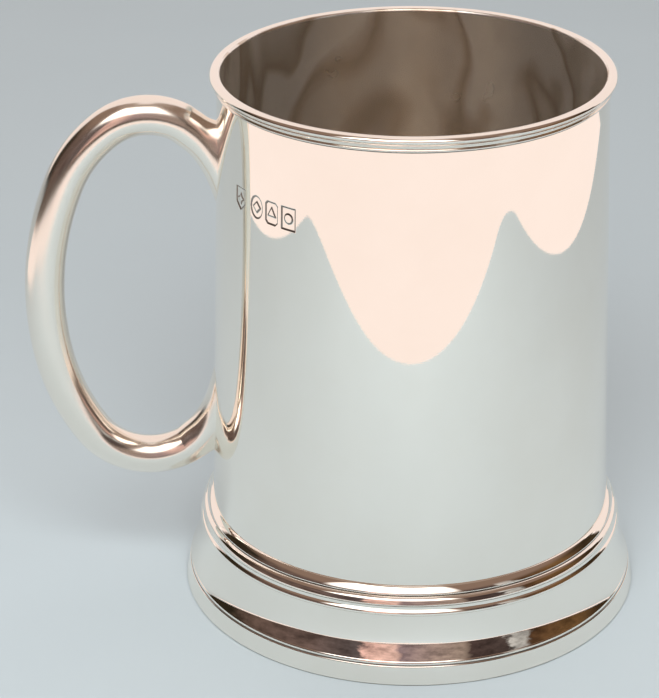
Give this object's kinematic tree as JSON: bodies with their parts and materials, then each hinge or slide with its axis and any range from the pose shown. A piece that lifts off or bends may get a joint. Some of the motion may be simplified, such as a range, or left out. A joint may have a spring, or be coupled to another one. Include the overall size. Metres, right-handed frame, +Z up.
{
  "type": "tankard",
  "caption": "Open tankard with a tapered barrel, moulded lip, reeded collar, spreading foot and a hollow loop handle, in mirror-polished silver.",
  "frame": {"origin": "on the axis of the barrel, at the plane that the foot stands on", "axes": "+Z up along the barrel's axis to the mouth; the handle is towards -X with its loop in the plane Y = 0; -Y is the side that carries the punched marks"},
  "size_m": [0.1367, 0.1034, 0.122],
  "materials": {
    "polished_silver": "mirror polished, with fine wear scratches"
  },
  "bodies": {
    "root": {"barrel": "polished_silver", "floor_disc": "polished_silver", "lip_moulding": "polished_silver", "foot_collar": "polished_silver", "foot_skirt": "polished_silver", "foot_rim": "polished_silver", "handle_front_half": "polished_silver", "handle_back_half": "polished_silver", "handle_upper_flare": "polished_silver", "handle_lower_flare": "polished_silver"}
  },
  "joints": []
}
